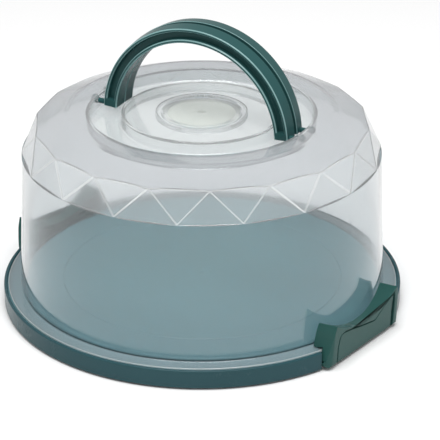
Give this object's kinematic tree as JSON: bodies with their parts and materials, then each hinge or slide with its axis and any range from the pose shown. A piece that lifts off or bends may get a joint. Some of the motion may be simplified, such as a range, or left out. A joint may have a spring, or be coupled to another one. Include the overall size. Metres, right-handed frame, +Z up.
{
  "type": "cake carrier",
  "caption": "Round cake carrier: green tray, clear faceted lift-off dome held by two rim latches, and an arched carrying handle that folds flat in two halves.",
  "frame": {"origin": "centre of the tray, on the surface that its foot ring stands on", "axes": "+Z up, +X towards the right latch; the handle's arch is turned 10 degrees about Z from X"},
  "size_m": [0.2498, 0.25, 0.1809],
  "materials": {
    "green_plastic": "glossy moulded",
    "clear_plastic": "clear, slightly hazy",
    "pin_steel": "plain"
  },
  "bodies": {
    "tray": {"base_tray": "green_plastic", "latch_pin_right": "pin_steel", "latch_pin_left": "pin_steel"},
    "lid": {"lid_dome": "clear_plastic"},
    "latch_right": {"latch_right": "green_plastic"},
    "latch_left": {"latch_left": "green_plastic"},
    "handle_front": {"handle_front": "green_plastic"},
    "handle_rear": {"handle_rear": "green_plastic"}
  },
  "joints": [
    {"name": "lid_lift", "type": "slide", "parent": "tray", "child": "lid", "axis": [0, 0, 1], "range_m": [0, 0.16]},
    {"name": "latch_right_swing", "type": "hinge", "parent": "tray", "child": "latch_right", "pos_m": [0.118, 0, 0.0062], "axis": [0, 1, 0], "range_deg": [0, 85]},
    {"name": "latch_left_swing", "type": "hinge", "parent": "tray", "child": "latch_left", "pos_m": [-0.118, 0, 0.0062], "axis": [0, -1, 0], "range_deg": [0, 85]},
    {"name": "handle_front_fold", "type": "hinge", "parent": "lid", "child": "handle_front", "pos_m": [0.00123, -0.00699, 0.1212], "axis": [0.9848, 0.1736, 0], "range_deg": [0, 90]},
    {"name": "handle_rear_fold", "type": "hinge", "parent": "lid", "child": "handle_rear", "pos_m": [-0.00123, 0.00699, 0.1212], "axis": [-0.9848, -0.1736, 0], "range_deg": [0, 90]}
  ]
}
